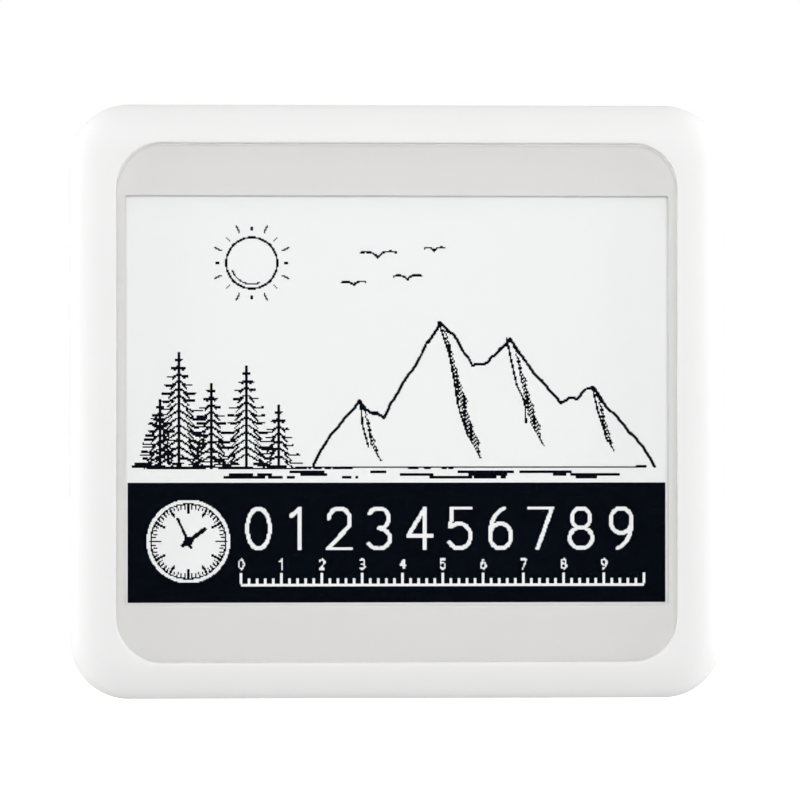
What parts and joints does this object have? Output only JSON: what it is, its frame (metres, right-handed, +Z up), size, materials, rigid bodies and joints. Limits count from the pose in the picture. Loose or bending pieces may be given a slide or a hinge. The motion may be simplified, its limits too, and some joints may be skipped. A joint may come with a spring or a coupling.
{
  "type": "nfc e-paper tag",
  "caption": "Flat white e-paper tag with a pillowed rim, a recessed clear window over a black and white display, a coil antenna inside and a flat back to stick to a wall or shelf",
  "frame": {"origin": "centre of the flat back face of the rear cover", "axes": "+X to the reader's right across the screen, +Z up the screen, and the screen faces -Y; the back face lies in the plane Y = 0"},
  "size_m": [0.103, 0.01, 0.0936],
  "materials": {
    "case_plastic": "smooth moulded white, slightly glossy",
    "window_plastic": "clear and polished",
    "mask_ink": "matt pale grey print",
    "tape": "thin double-sided tape",
    "clear_film": "matt clear film",
    "ink_layer": "matt paper-like picture film, printed in black and white",
    "sealant": "cured sealant",
    "panel_glass": "thin display glass",
    "chip_silicon": "bare silicon",
    "chip_coating": "dark sealant",
    "flex_film": "amber polyimide over copper",
    "stiffener_film": "blue stiffener",
    "board_resin": "solder mask over glass-fibre board",
    "copper_track": "etched copper under clear lacquer",
    "connector_resin": "moulded ivory resin",
    "contact_gold": "gold-plated spring contacts",
    "latch_resin": "moulded black resin",
    "package_resin": "moulded black package with tinned leads",
    "ferrite": "grey ferrite",
    "tantalum_resin": "moulded yellow package with tinned ends",
    "chip_ceramic": "fired ceramic with tinned ends",
    "resistor_ceramic": "black glaze with tinned ends",
    "screw_steel": "bright zinc plate"
  },
  "bodies": {
    "rear_shell": {"rear_cover": "case_plastic", "case_screws": "screw_steel"},
    "front_unit": {"front_case": "case_plastic", "window": "window_plastic", "grey_mask": "mask_ink", "window_tape": "tape", "protective_film": "clear_film", "ink_film": "ink_layer", "edge_seal": "sealant", "panel_glass": "panel_glass", "driver_chip": "chip_silicon", "driver_coating": "chip_coating", "panel_flex": "flex_film", "flex_stiffener": "stiffener_film", "panel_tape": "tape", "circuit_board": "board_resin", "antenna_coil": "copper_track", "flex_connector": "connector_resin", "connector_contacts": "contact_gold", "nfc_chip": "package_resin", "microcontroller": "package_resin", "voltage_regulator": "package_resin", "boost_inductor": "ferrite", "boost_transistor": "package_resin", "booster_diodes": "package_resin", "bridge_diodes": "package_resin", "reservoir_capacitors": "tantalum_resin", "ceramic_capacitors": "chip_ceramic", "tuning_capacitors": "chip_ceramic", "resistors": "resistor_ceramic", "board_screws": "screw_steel"},
    "latch": {"connector_latch": "latch_resin"}
  },
  "joints": [
    {"name": "front_off", "type": "slide", "parent": "rear_shell", "child": "front_unit", "axis": [0, -1, 0], "range_m": [0, 0.05]},
    {"name": "latch_hinge", "type": "hinge", "parent": "front_unit", "child": "latch", "pos_m": [0, -0.0041, -0.0284], "axis": [1, 0, 0], "range_deg": [0, 90]}
  ]
}
